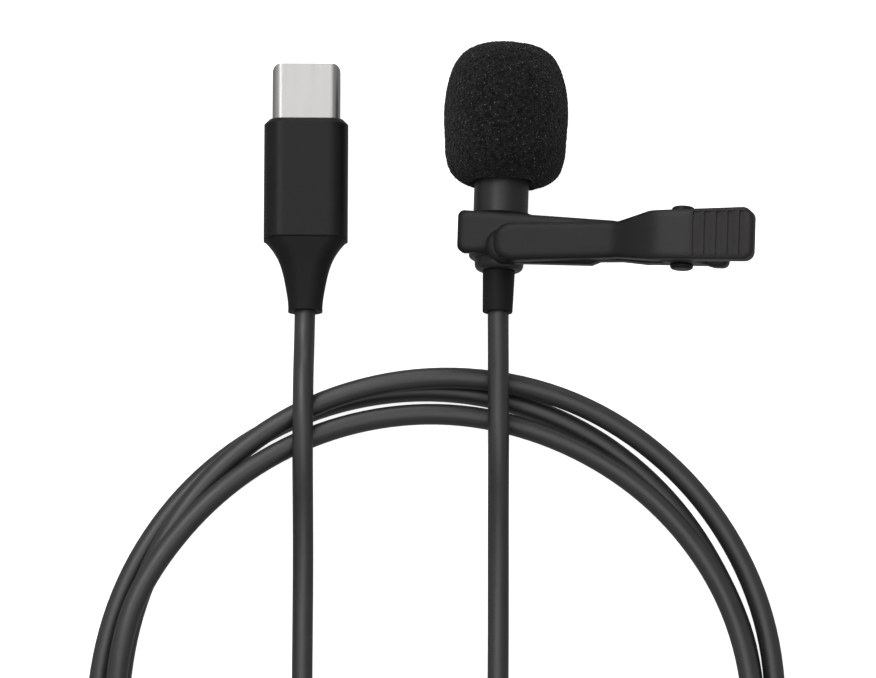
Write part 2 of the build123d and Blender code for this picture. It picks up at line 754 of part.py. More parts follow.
with BuildPart() as plug_wires:
    with BuildSketch(plug_across(PLUG_CORD_END)):
        with Locations((0, -CAVITY_H / 2 - WIRE_R)):
            with GridLocations(0.8, 1, 3, 1):
                Circle(WIRE_R)
    extrude(amount=BOARD_BACK + 1.4 - PLUG_CORD_END)
save(plug_wires, "plug_wires")

with BuildPart() as plug_ferrule:
    with BuildSketch(plug_across(PLUG_CORD_END - PLUG_FERRULE_LONG)):
        Circle(1.8)
        Circle(CORD_BORE_R, mode=Mode.SUBTRACT)
    extrude(amount=PLUG_FERRULE_LONG)
save(plug_ferrule, "plug_ferrule")

with BuildPart() as board_shield:
    with BuildSketch(plug_across(BOARD_BACK - 0.1)):
        RectangleRounded(
            PLUG_W - 2 * PLUG_WALL - 0.04,
            PLUG_H - 2 * PLUG_WALL - 0.04,
            PLUG_CORNER - PLUG_WALL,
        )
        RectangleRounded(
            PLUG_W - 2 * PLUG_WALL - 0.34,
            PLUG_H - 2 * PLUG_WALL - 0.34,
            PLUG_CORNER - PLUG_WALL - 0.15,
            mode=Mode.SUBTRACT,
        )
    extrude(amount=BOARD_FRONT - BOARD_BACK)
save(board_shield, "board_shield")

# ---------------------------------------------------------------- plug: housing and boot
with BuildPart() as plug_housing:
    with BuildSketch(plug_across(SLEEVE_LOW)):
        RectangleRounded(PLUG_W, PLUG_H, PLUG_CORNER)
    extrude(amount=SLEEVE_LONG)
    front_edges = plug_housing.faces().sort_by(Axis.Y)[-1].edges()
    chamfer(front_edges, 0.6)
    with BuildSketch(plug_across(SLEEVE_LOW)):
        RectangleRounded(PLUG_W - 2 * PLUG_WALL, PLUG_H - 2 * PLUG_WALL, PLUG_CORNER - PLUG_WALL)
    extrude(amount=SLEEVE_LONG - PLUG_WALL, mode=Mode.SUBTRACT)
    with BuildSketch(plug_across(SLEEVE_TOP)):
        SlotOverall(SHELL_W + 0.02, SHELL_H + 0.02)
    extrude(amount=-PLUG_WALL, mode=Mode.SUBTRACT)
save(plug_housing, "plug_housing")

BOOT_SECTIONS = (               # distance from the end, half width, half height, corner radius
    (0.0, 2.09, 2.0, 1.8),
    (2.5, 2.31, 2.13, 1.9),
    (4.9, 2.8, 2.37, 2.0),
    (6.5, 3.36, 2.65, 2.1),
    (7.8, 4.13, 2.93, 2.2),
    (BOOT_LONG, PLUG_W / 2 - 0.12, PLUG_H / 2 - 0.12, PLUG_CORNER - 0.1),
)

with BuildPart() as plug_boot:
    for distance, half_width, half_height, corner in BOOT_SECTIONS:
        with BuildSketch(plug_across(distance)):
            RectangleRounded(2 * half_width, 2 * half_height, corner)
    loft()
    with BuildSketch(plug_across(BOOT_LONG)):
        RectangleRounded(
            PLUG_W - 2 * PLUG_WALL - 0.02, PLUG_H - 2 * PLUG_WALL - 0.02, PLUG_CORNER - PLUG_WALL
        )
    extrude(amount=PLUG_CORD_END - PLUG_FERRULE_LONG - BOOT_LONG)
    with BuildSketch(plug_across(0)):
        Circle(CORD_BORE_R)
    extrude(amount=PLUG_CORD_END, mode=Mode.SUBTRACT)
save(plug_boot, "plug_boot")

# ---------------------------------------------------------------- cord
FLOOR_LEVEL = CORD_R + 0.02


MIC_TAIL = [
    (MIC_X, CORD_INNER_END, MIC_Z),
    (MIC_X, -14.6, MIC_Z),
    (-11.23, -21.0, 7.3),
    (-11.03, -26.5, 6.6),
    (-10.78, -33.5, 6.45),
    (-10.54, -41.0, 3.0),
    (-10.28, -48.5, FLOOR_LEVEL),
    (-9.98, -58.5, FLOOR_LEVEL),
    (-9.73, -69.6, FLOOR_LEVEL),
    (-0.48, -78.4, FLOOR_LEVEL),
    (11.92, -78.2, FLOOR_LEVEL),
    (20.92, -70.0, FLOOR_LEVEL),
    (21.22, -61.0, FLOOR_LEVEL),
]
PLUG_TAIL = [
    plug_point(0, PLUG_CORD_END, 0),
    plug_point(0, 4.0, 0),
    plug_point(0, -3.4, 0.15),
    (-34.57, -25.6, 6.2),
    (-34.37, -34.0, 6.4),
    (-34.12, -41.5, 3.0),
    (-33.87, -48.5, FLOOR_LEVEL),
    (-33.62, -58.5, FLOOR_LEVEL),
    (-33.33, -69.0, FLOOR_LEVEL),
    (-39.98, -76.0, FLOOR_LEVEL),
    (-49.08, -76.2, FLOOR_LEVEL),
    (-55.68, -69.8, FLOOR_LEVEL),
    (-55.98, -61.0, FLOOR_LEVEL),
]


def bend_radii(points):
    """The radius at each inner point: 0.45 of its shorter run over the tangent of half its turn."""
    radii = []
    for before, here, after in zip(points, points[1:], points[2:]):
        arrive = Vector(*here) - Vector(*before)
        leave = Vector(*after) - Vector(*here)
        half_turn = radians(arrive.get_angle(leave)) / 2
        radii.append(0.45 * min(arrive.length, leave.length) / tan(half_turn))
    return radii


for name, points in (("cord_mic_tail", MIC_TAIL), ("cord_plug_tail", PLUG_TAIL)):
    radii = bend_radii(points)
    print(name, "radii", [round(radius, 1) for radius in radii])
    with BuildPart() as tail:
        with BuildLine() as route:
            FilletPolyline(*points, radius=radii)
        with BuildSketch(Plane(origin=route.line @ 0, z_dir=route.line % 0)):
            Circle(CORD_R)
        sweep(path=route.line)
    length = sum(edge.length for edge in route.edges())
    print(name, "length", round(length, 1), "volume", round(tail.part.volume / (pi * CORD_R**2 * length), 4))
    save(tail, name)

BUNDLE_X = COIL_X
BUNDLE_Y = COIL_Y - COIL_MEAN_R + BUNDLE_MEAN_R

for name, x, y, mean_r, wide, high in (
    ("cord_coil", COIL_X, COIL_Y, COIL_MEAN_R, COIL_WIDE, COIL_HIGH),
    ("cord_bundle", BUNDLE_X, BUNDLE_Y, BUNDLE_MEAN_R, BUNDLE_WIDE, BUNDLE_HIGH),
):
    with BuildPart() as coil:
        with BuildSketch(Plane(origin=(x, y, 0), x_dir=(1, 0, 0), z_dir=(0, -1, 0))):
            with Locations((mean_r, high / 2)):
                RectangleRounded(wide, high, CORD_R)
        revolve(axis=Axis((x, y, 0), (0, 0, 1)))
    save(coil, name)
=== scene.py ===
import json
from math import cos, hypot, pi, radians, sin, sqrt

import bmesh
import bpy
from mathutils import Matrix, Vector, noise


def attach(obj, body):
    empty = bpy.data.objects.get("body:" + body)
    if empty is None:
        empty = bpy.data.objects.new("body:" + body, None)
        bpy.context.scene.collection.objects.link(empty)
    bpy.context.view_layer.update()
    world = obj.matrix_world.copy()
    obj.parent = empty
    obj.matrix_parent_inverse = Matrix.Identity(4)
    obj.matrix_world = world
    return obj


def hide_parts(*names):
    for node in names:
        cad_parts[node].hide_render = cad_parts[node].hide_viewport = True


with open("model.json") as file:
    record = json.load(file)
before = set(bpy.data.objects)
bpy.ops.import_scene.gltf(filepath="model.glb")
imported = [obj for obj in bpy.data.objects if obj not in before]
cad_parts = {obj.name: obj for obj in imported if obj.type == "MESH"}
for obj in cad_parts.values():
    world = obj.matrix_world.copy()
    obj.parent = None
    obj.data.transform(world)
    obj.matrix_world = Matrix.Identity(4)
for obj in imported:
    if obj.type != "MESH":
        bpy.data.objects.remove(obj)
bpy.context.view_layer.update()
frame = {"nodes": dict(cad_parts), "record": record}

# Shapes are given in mm. The cord's length, the table and the lights are in metres.
MM = 0.001

# ---------------------------------------------------------------- camera
VIEW_WIDE = 106.0 * MM          # width of the picture, measured on the object
LENS = 600.0
SENSOR = 36.0
ELEVATION = radians(79)
ROLL = radians(1.9)
LOOK_AT = Vector((-18.53, -19.36, 3.0)) * MM


def make_camera():
    """A long lens, 79 degrees above the table, rolled a little to the left."""
    data = bpy.data.cameras.new("camera")
    data.lens = LENS
    data.sensor_width = SENSOR
    data.clip_end = 20
    distance = VIEW_WIDE * LENS / SENSOR
    back = Vector((0, -cos(ELEVATION), sin(ELEVATION)))
    right = Vector((1, 0, 0))
    up = back.cross(right)
    turn = Matrix.Rotation(ROLL, 3, back)
    axes = Matrix((turn @ right, turn @ up, back)).transposed()
    camera = bpy.data.objects.new("camera", data)
    camera.matrix_world = Matrix.Translation(LOOK_AT + back * distance) @ axes.to_4x4()
    bpy.context.scene.collection.objects.link(camera)
    bpy.context.scene.camera = camera


make_camera()

# ---------------------------------------------------------------- cord
CORD_R = 1.28
FLOOR_LEVEL = 1.33              # the cord's middle, where it lies on the table
MIC_X, MIC_Z = -11.46, 7.55     # the microphone's axis, which runs along Y

MIC_TAIL = [
    (MIC_X, -7.6, MIC_Z),
    (MIC_X, -14.6, MIC_Z),
    (-11.23, -21.0, 7.3),
    (-11.03, -26.5, 6.6),
    (-10.78, -33.5, 6.45),
    (-10.54, -41.0, 3.0),
    (-10.28, -48.5, FLOOR_LEVEL),
    (-9.98, -58.5, FLOOR_LEVEL),
    (-9.73, -69.6, FLOOR_LEVEL),
    (-0.48, -78.4, FLOOR_LEVEL),
    (11.92, -78.2, FLOOR_LEVEL),
    (20.92, -70.0, FLOOR_LEVEL),
    (21.22, -61.0, FLOOR_LEVEL),
]
PLUG_TAIL = [
    (-35.03, -4.8, 3.2),
    (-34.8, -12.6, 3.2),
    (-34.68, -20.0, 3.35),
    (-34.64, -25.6, 6.2),
    (-34.42, -34.0, 6.4),
    (-34.12, -41.5, 3.0),
    (-33.87, -48.5, FLOOR_LEVEL),
    (-33.62, -58.5, FLOOR_LEVEL),
    (-33.33, -69.0, FLOOR_LEVEL),
    (-39.98, -76.0, FLOOR_LEVEL),
    (-49.08, -76.2, FLOOR_LEVEL),
    (-55.68, -69.8, FLOOR_LEVEL),
    (-55.98, -61.0, FLOOR_LEVEL),
]

COIL_CENTRE = (-17.18, -65.8)
COIL_STEPS = 16                 # points per turn
# How each strand of the hand-wound coil wanders: places (degrees round the coil, radius in mm)
# that its radius passes through. The turns run on from one strand to the next.
FIRST_STRAND = [
    (0, 38.5), (14, 38.15), (22, 38.1), (33, 38.35), (60, 39.25), (75, 39.95), (90, 40.3), (112, 40.75),
    (140, 41.0), (180, 40.9), (270, 43.9),
]
SECOND_STRAND = [
    (360, 40.7), (385, 41.5), (414, 42.05), (432, 42.12), (451, 41.55), (472, 40.9), (500, 39.85),
    (522, 38.65), (540, 38.15), (585, 39.5), (630, 41.2),
]
THIRD_STRAND = [
    (675, 39.9), (720, 38.1), (741, 37.8), (753, 37.4), (768, 37.2), (790, 36.95), (811, 37.1),
    (828, 37.25), (848, 37.53), (880, 38.6),
]
BUNDLE_ANGLE = 630              # where the second strand turns into the bundle
BUNDLE_CENTRE = (-17.18, -90.5)
BUNDLE_STEPS = 16               # points per turn
BUNDLE_START = 270              # degrees round the bundle, where it leaves the coil
# of its turns, in the order in which they are laid
BUNDLE_RADII = [16.6, 14.0, 11.4, 11.4, 14.0, 16.6, 14.0, 16.6]
STACK = 2.6                     # between the middles of touching turns: just over the cord's diameter
TOUCHING = 0.96                 # nearer in plan than this share of STACK, a cord lies on another
JUST_LAID = 4                   # points laid last: the next can't rest on the runs between them


def smooth_between(knots, angle):
    """The value at angle of a smooth curve through the knots."""
    for (a0, r0), (a1, r1) in zip(knots, knots[1:]):
        if angle <= a1:
            t = max(0.0, (angle - a0) / (a1 - a0))
            return r0 + (r1 - r0) * t * t * (3 - 2 * t)
    return knots[-1][1]


def ring_point(centre, radius, angle, steps):
    """A control point of a round turn. It stands outside it, because the spline cuts inside its points."""
    out = radius / cos(pi / steps)
    return (centre[0] + out * cos(radians(angle)), centre[1] + out * sin(radians(angle)))


def coil_points():
    """Plan positions of the coil's control points. The bundle is wound at the coil's bottom."""
    knots = FIRST_STRAND + SECOND_STRAND + THIRD_STRAND
    step = 360 / COIL_STEPS
    points = []
    angle = step
    while angle < THIRD_STRAND[-1][0]:
        if angle == BUNDLE_ANGLE:
            points += bundle_points()
        else:
            points.append(ring_point(COIL_CENTRE, smooth_between(knots, angle), angle, COIL_STEPS))
        angle += step
    return points


def bundle_points():
    """Eight turns, laid side by side in layers. A turn moves to its next place over its last quarter."""
    points = []
    step = 360 / BUNDLE_STEPS
    for turn, radius in enumerate(BUNDLE_RADII):
        following = BUNDLE_RADII[min(turn + 1, len(BUNDLE_RADII) - 1)]
        for k in range(BUNDLE_STEPS):
            t = max(0.0, (k / BUNDLE_STEPS - 0.75) * 4)
            now = radius + (following - radius) * t
            points.append(ring_point(BUNDLE_CENTRE, now, BUNDLE_START + k * step, BUNDLE_STEPS))
    points.append(ring_point(BUNDLE_CENTRE, BUNDLE_RADII[-1], BUNDLE_START, BUNDLE_STEPS))
    return points


def nearest_on(a, b, x, y):
    """Distance in plan from (x, y) to the run from a to b, and the run's height there."""
    dx, dy = b[0] - a[0], b[1] - a[1]
    t = ((x - a[0]) * dx + (y - a[1]) * dy) / (dx * dx + dy * dy)
    t = min(1.0, max(0.0, t))
    return hypot(a[0] + t * dx - x, a[1] + t * dy - y), a[2] + t * (b[2] - a[2])


def lay_down(plan, below):
    """Gives each plan point the height at which it rests on the table or on what was laid before it."""
    laid = list(below)
    for x, y in plan:
        height = FLOOR_LEVEL
        for a, b in zip(laid[:-JUST_LAID], laid[1:1 - JUST_LAID]):
            distance, z = nearest_on(a, b, x, y)
            if distance < STACK * TOUCHING:
                height = max(height, z + sqrt(STACK**2 - distance**2))
        laid.append((x, y, height))
    return laid[len(below):]


def relaxed(points):
    """A stiff cord doesn't drop at once: heights spread a little to each side of a crossing."""
    heights = [z for x, y, z in points]
    spread = [max(heights[max(0, i - 1):i + 2]) for i in range(len(heights))]
    near = [spread[max(0, i - 1):i + 2] for i in range(len(spread))]
    even = [sum(few) / len(few) for few in near]
    return [(x, y, z) for (x, y, _), z in zip(points, even)]


def make_cord():
    """One spline from inside the microphone to inside the plug."""
    on_table = [point for point in MIC_TAIL if point[2] == FLOOR_LEVEL]
    coil = relaxed(lay_down(coil_points(), on_table))
    # the plug's tail comes down from the coil over its first two points
    plug_end = list(reversed(PLUG_TAIL))
    plug_end[0] = (*plug_end[0][:2], coil[-1][2])
    plug_end[1] = (*plug_end[1][:2], (coil[-1][2] + FLOOR_LEVEL) / 2)
    points = MIC_TAIL + coil + plug_end
    curve = bpy.data.curves.new("cord", "CURVE")
    curve.dimensions = "3D"
    curve.resolution_u = 10
    curve.bevel_depth = 1.0     # times each point's radius
    curve.bevel_resolution = 5
    curve.use_fill_caps = True
    spline = curve.splines.new("NURBS")
    spline.points.add(len(points) - 1)
    for place, point in zip(spline.points, points):
        place.co = (*[v * MM for v in point], 1)
        place.radius = CORD_R * MM
    spline.order_u = 3
    spline.use_endpoint_u = True
    cord = bpy.data.objects.new("cord", curve)
    bpy.context.scene.collection.objects.link(cord)
    return cord


cord = make_cord()
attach(cord, "microphone")
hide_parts("cord_mic_tail", "cord_coil", "cord_bundle", "cord_plug_tail")

# ---------------------------------------------------------------- materials
GRAIN_DEPTH = 0.1 * MM          # of moulded plastic
BRUSH_DEPTH = 0.05 * MM         # of drawn lines in metal
PORE_DEPTH = 0.25 * MM          # of the foam's cells
NOISE_MIDDLE = (0.3, 0.7)       # most values of a noise texture lie between these
TWO_TONE_FADE = (0.35, 0.65)    # noise values between which dark turns to light
GLOSS_SPREAD = 0.05             # roughness varies by this much to each side
PATCHES = 220                   # to a metre, of slightly different colour and gloss
FOAM_CELLS = 3400               # to a metre, like the next two
FOAM_CLUMPS = 1800
FOAM_SPECKS = 5600
SPECK_FADE = (0.68, 0.76)       # noise values between which the foam turns to a painted glint of pale colour
CLUMP_FADE = (0.35, 0.6)        # noise values between which the foam's shade changes
CLUMP_SHADES = (0.3, 1.3)


def new_material(name):
    """An empty node material, with its shader and a texture coordinate in the object's own metres."""
    material = bpy.data.materials.new(name)
    material.use_nodes = True
    nodes = material.node_tree.nodes
    shader = nodes["Principled BSDF"]
    coords = nodes.new("ShaderNodeTexCoord")
    return material, nodes, material.node_tree.links, shader, coords


def noise_at(nodes, links, coords, scale, detail=3, roughness=0.6):
    texture = nodes.new("ShaderNodeTexNoise")
    texture.inputs["Scale"].default_value = scale
    texture.inputs["Detail"].default_value = detail
    texture.inputs["Roughness"].default_value = roughness
    links.new(coords.outputs["Object"], texture.inputs["Vector"])
    return texture


def add_bump(nodes, links, shader, height, strength, distance, normal=None):
    bump = nodes.new("ShaderNodeBump")
    bump.inputs["Strength"].default_value = strength
    bump.inputs["Distance"].default_value = distance
    links.new(height, bump.inputs["Height"])
    if normal is not None:
        links.new(normal, bump.inputs["Normal"])
    links.new(bump.outputs["Normal"], shader.inputs["Normal"])


def spread_value(nodes, links, source, low, high):
    """Maps a noise's middle values to the range from low to high."""
    ramp = nodes.new("ShaderNodeMapRange")
    ramp.inputs["From Min"].default_value = NOISE_MIDDLE[0]
    ramp.inputs["From Max"].default_value = NOISE_MIDDLE[1]
    ramp.inputs["To Min"].default_value = low
    ramp.inputs["To Max"].default_value = high
    links.new(source, ramp.inputs["Value"])
    return ramp.outputs["Result"]


def two_tone(nodes, links, source, dark, light):
    ramp = nodes.new("ShaderNodeValToRGB")
    ramp.color_ramp.elements[0].position = TWO_TONE_FADE[0]
    ramp.color_ramp.elements[0].color = (*dark, 1)
    ramp.color_ramp.elements[1].position = TWO_TONE_FADE[1]
    ramp.color_ramp.elements[1].color = (*light, 1)
    links.new(source, ramp.inputs["Fac"])
    return ramp.outputs["Color"]


def moulded(name, dark, light, roughness, grain, bump, specular=0.5, soft=0.0):
    """Moulded plastic, rubber or paint: slight colour variation, uneven gloss and a fine grain.
    Edges are shaded as if rounded to a radius of soft mm."""
    material, nodes, links, shader, coords = new_material(name)
    broad = noise_at(nodes, links, coords, PATCHES)
    fine = noise_at(nodes, links, coords, grain, detail=2)
    links.new(two_tone(nodes, links, broad.outputs["Fac"], dark, light), shader.inputs["Base Color"])
    glossy, matt = roughness - GLOSS_SPREAD, roughness + GLOSS_SPREAD
    gloss = spread_value(nodes, links, broad.outputs["Fac"], glossy, matt)
    links.new(gloss, shader.inputs["Roughness"])
    shader.inputs["Specular IOR Level"].default_value = specular
    normal = None
    if soft:
        rounding = nodes.new("ShaderNodeBevel")
        rounding.samples = 8
        rounding.inputs["Radius"].default_value = soft * MM
        normal = rounding.outputs["Normal"]
    add_bump(nodes, links, shader, fine.outputs["Fac"], bump, GRAIN_DEPTH, normal)
    return material


def metal(name, dark, light, roughness, stretch=(1, 1, 1), scale=900, bump=0.05):
    """Bare metal with fine drawn or brushed lines along one axis."""
    material, nodes, links, shader, coords = new_material(name)
    mapping = nodes.new("ShaderNodeMapping")
    mapping.inputs["Scale"].default_value = stretch
    links.new(coords.outputs["Object"], mapping.inputs["Vector"])
    lines = nodes.new("ShaderNodeTexNoise")
    lines.inputs["Scale"].default_value = scale
    lines.inputs["Detail"].default_value = 4
    links.new(mapping.outputs["Vector"], lines.inputs["Vector"])
    links.new(two_tone(nodes, links, lines.outputs["Fac"], dark, light), shader.inputs["Base Color"])
    shader.inputs["Metallic"].default_value = 1
    glossy, matt = roughness - GLOSS_SPREAD, roughness + GLOSS_SPREAD
    gloss = spread_value(nodes, links, lines.outputs["Fac"], glossy, matt)
    links.new(gloss, shader.inputs["Roughness"])
    add_bump(nodes, links, shader, lines.outputs["Fac"], bump, BRUSH_DEPTH)
    return material


def foam_material():
    """Open-cell foam: matt black, with fine pores and a few painted glints: pale specks where cell walls
    would catch the light.
    """
    material, nodes, links, shader, coords = new_material("foam")
    cells = nodes.new("ShaderNodeTexVoronoi")
    cells.inputs["Scale"].default_value = FOAM_CELLS
    links.new(coords.outputs["Object"], cells.inputs["Vector"])
    clumps = noise_at(nodes, links, coords, FOAM_CLUMPS, detail=4, roughness=0.7)
    specks = noise_at(nodes, links, coords, FOAM_SPECKS, detail=1)
    # dark foam with pale specks painted into its colour: painted glints, where cell walls would catch the
    # light
    foam_and_glints = nodes.new("ShaderNodeValToRGB")
    foam_and_glints.color_ramp.elements[0].position = SPECK_FADE[0]
    foam_and_glints.color_ramp.elements[0].color = (0.0185, 0.018, 0.0178, 1)
    foam_and_glints.color_ramp.elements[1].position = SPECK_FADE[1]
    foam_and_glints.color_ramp.elements[1].color = (0.3, 0.29, 0.28, 1)
    links.new(specks.outputs["Fac"], foam_and_glints.inputs["Fac"])
    pores = nodes.new("ShaderNodeMapRange")
    pores.inputs["From Min"].default_value = CLUMP_FADE[0]
    pores.inputs["From Max"].default_value = CLUMP_FADE[1]
    pores.inputs["To Min"].default_value = CLUMP_SHADES[0]
    pores.inputs["To Max"].default_value = CLUMP_SHADES[1]
    links.new(clumps.outputs["Fac"], pores.inputs["Value"])
    shade = nodes.new("ShaderNodeVectorMath")
    shade.operation = "SCALE"
    links.new(foam_and_glints.outputs["Color"], shade.inputs[0])
    links.new(pores.outputs["Result"], shade.inputs["Scale"])
    links.new(shade.outputs["Vector"], shader.inputs["Base Color"])
    shader.inputs["Roughness"].default_value = 0.95
    shader.inputs["Specular IOR Level"].default_value = 0.1
    shader.inputs["Sheen Weight"].default_value = 0.1
    shader.inputs["Sheen Roughness"].default_value = 0.4
    both = nodes.new("ShaderNodeMath")
    both.operation = "ADD"
    links.new(cells.outputs["Distance"], both.inputs[0])
    links.new(clumps.outputs["Fac"], both.inputs[1])
    add_bump(nodes, links, shader, both.outputs["Value"], 0.9, PORE_DEPTH)
    return material


def painted_pad_light(material, start, end, colour):
    """Fades a material to a paler colour from start to end along the object's X: painted light, for the
    brighter light on the clip's raised pads.
    """
    nodes, links = material.node_tree.nodes, material.node_tree.links
    shader = nodes["Principled BSDF"]
    own_colour = shader.inputs["Base Color"].links[0].from_socket
    split = nodes.new("ShaderNodeSeparateXYZ")
    links.new(nodes["Texture Coordinate"].outputs["Object"], split.inputs["Vector"])
    fade = nodes.new("ShaderNodeMapRange")
    fade.inputs["From Min"].default_value = start * MM
    fade.inputs["From Max"].default_value = end * MM
    links.new(split.outputs["X"], fade.inputs["Value"])
    mix = nodes.new("ShaderNodeMixRGB")
    mix.inputs["Color2"].default_value = (*colour, 1)
    links.new(fade.outputs["Result"], mix.inputs["Fac"])
    links.new(own_colour, mix.inputs["Color1"])
    links.new(mix.outputs["Color"], shader.inputs["Base Color"])


MATERIALS = {
    "foam": foam_material(),
    "black_plastic": moulded(
        "black_plastic", (0.0085, 0.0085, 0.009), (0.011, 0.011, 0.0115),
        roughness=0.36, grain=9000, bump=0.08, specular=0.26, soft=0.4,
    ),
    "clip_plastic": moulded(
        "clip_plastic", (0.0085, 0.0082, 0.0081), (0.0118, 0.0114, 0.0112),
        roughness=0.38, grain=7000, bump=0.14, specular=0.28, soft=1.2,
    ),
    "housing_paint": moulded(
        "housing_paint", (0.016, 0.016, 0.0165), (0.02, 0.02, 0.0205),
        roughness=0.4, grain=12000, bump=0.06, specular=0.55,
    ),
    "jacket": moulded(
        "jacket", (0.022, 0.022, 0.023), (0.028, 0.028, 0.029),
        roughness=0.42, grain=6000, bump=0.08, specular=0.85,
    ),
    "relief_rubber": moulded(
        "relief_rubber", (0.0095, 0.0095, 0.0095), (0.0125, 0.0125, 0.0125),
        roughness=0.56, grain=8000, bump=0.12, specular=0.2, soft=0.2,
    ),
    "nickel": metal(
        "nickel", (0.545, 0.535, 0.525), (0.565, 0.56, 0.55),
        roughness=0.32, stretch=(1, 0.12, 1), bump=0.03,
    ),
    "spring_steel": metal("spring_steel", (0.5, 0.5, 0.5), (0.62, 0.62, 0.62), roughness=0.28),
    "aluminium_can": metal("aluminium_can", (0.7, 0.7, 0.7), (0.8, 0.8, 0.8), roughness=0.35),
    "gold": metal("gold", (0.75, 0.52, 0.2), (0.85, 0.64, 0.3), roughness=0.25),
    "film": moulded("film", (0.6, 0.56, 0.48), (0.7, 0.66, 0.58), roughness=0.25, grain=3000, bump=0.05),
    "pcb": moulded("pcb", (0.008, 0.05, 0.02), (0.012, 0.07, 0.03), roughness=0.3, grain=4000, bump=0.1),
    "chip": moulded(
        "chip", (0.01, 0.01, 0.01), (0.015, 0.015, 0.015),
        roughness=0.5, grain=9000, bump=0.1,
    ),
    "wire_insulation": moulded(
        "wire_insulation", (0.3, 0.015, 0.01), (0.36, 0.02, 0.015),
        roughness=0.3, grain=5000, bump=0.05,
    ),
    "white_plastic": moulded(
        "white_plastic", (0.6, 0.58, 0.53), (0.68, 0.66, 0.61),
        roughness=0.45, grain=7000, bump=0.08,
    ),
}

# painted light: the clip's plastic turns paler from X 2 mm to 9 mm, so the raised pads look more brightly
# lit
painted_pad_light(MATERIALS["clip_plastic"], start=2.0, end=9.0, colour=(0.027, 0.0252, 0.0243))

# ---------------------------------------------------------------- CAD nodes: materials and soft edges
# how wide a rounded edge each node has
EDGE_ROUND = {
    "clip_front_arm": 0.22,
    "clip_rear_arm": 0.18,
    "pivot_pin": 0.1,
    "plug_housing": 0.15,
    "plug_boot": 0.1,
    "mic_housing": 0.1,
    "mic_end_cap": 0.12,
    "mic_strain_relief": 0.15,
    "plug_shell": 0.05,
}
SHARP_EDGE = radians(35)        # an edge that turns by less isn't rounded


def finish_node(node, slot):
    """Gives a CAD node its material, and rounds its sharp edges for the light to catch."""
    node.data.materials.clear()
    node.data.materials.append(MATERIALS[slot])
    if node.name in EDGE_ROUND:
        bevel = node.modifiers.new("edges", "BEVEL")
        bevel.width = EDGE_ROUND[node.name] * MM
        bevel.segments = 3
        bevel.limit_method = "ANGLE"
        bevel.angle_limit = SHARP_EDGE
        bevel.harden_normals = True


for subpart in frame["record"]["subparts"]:
    finish_node(frame["nodes"][subpart["node"]], subpart["material_slot"])
cord.data.materials.append(MATERIALS["jacket"])

# ---------------------------------------------------------------- foam windscreen
FOAM_AROUND = 420               # points round the foam, and rings from its top to its bore
FOAM_ALONG = 300
FOAM_BORE_R = 3.4
# half the foam's outline, from its top round its mouth into its bore: (place along Y, radius)
FOAM_OUTLINE = [
    (16.36, 0.0), (16.28, 2.1), (15.9, 3.85), (15.15, 5.2), (14.1, 6.1), (12.8, 6.7), (11.3, 7.12),
    (9.4, 7.42), (7.8, 7.5), (5.4, 7.42), (3.0, 7.24), (1.6, 7.0), (0.5, 6.55), (-0.25, 5.85),
    (-0.7, 5.1), (-0.88, 4.4), (-0.7, 3.8), (-0.2, FOAM_BORE_R), (2.0, FOAM_BORE_R),
]
FOAM_SHIFT = 0.33               # the foam sits a little off the housing's axis, to +X
FOAM_LEAN = radians(0.45)       # its top leans to -X
MOUTH_TOP = 1.0                 # below this the foam next to the bore has no relief
MOUTH_RIM = 0.2                 # how far out from the bore that goes
GRIP_TOP = 3.0                  # below this the foam is held in line near the bore
GRIP_DEEP = 1.2                 # over which it comes free, outwards from the bore
TABLE_GAP = 0.01                # the least height over the table

# soft lumps, clumps, cells and torn cell walls: (how many to a mm, height, where its noise is sampled)
FOAM_RELIEF = [
    (0.35, 0.05, (0, 0, 0)),
    (1.6, 0.04, (7, 0, 0)),
    (4.2, 0.06, (0, 9, 0)),
    (9.0, 0.06, (0, 0, 5)),
]


def outline_at(t):
    """The foam's outline at t from 0 to 1: a smooth curve through its points."""
    place = t * (len(FOAM_OUTLINE) - 1)
    i = min(int(place), len(FOAM_OUTLINE) - 2)
    f = place - i
    p = [FOAM_OUTLINE[min(max(i + k, 0), len(FOAM_OUTLINE) - 1)] for k in (-1, 0, 1, 2)]
    return [
        0.5 * (2 * b + (c - a) * f + (2 * a - 5 * b + 4 * c - d) * f * f + (3 * b - a - 3 * c + d) * f**3)
        for a, b, c, d in zip(*p)
    ]


def foam_relief(place):
    """How far the foam's skin stands out at a place."""
    out = 0.0
    for per_mm, height, offset in FOAM_RELIEF:
        out += noise.noise(place * per_mm + Vector(offset)) * height
    return out


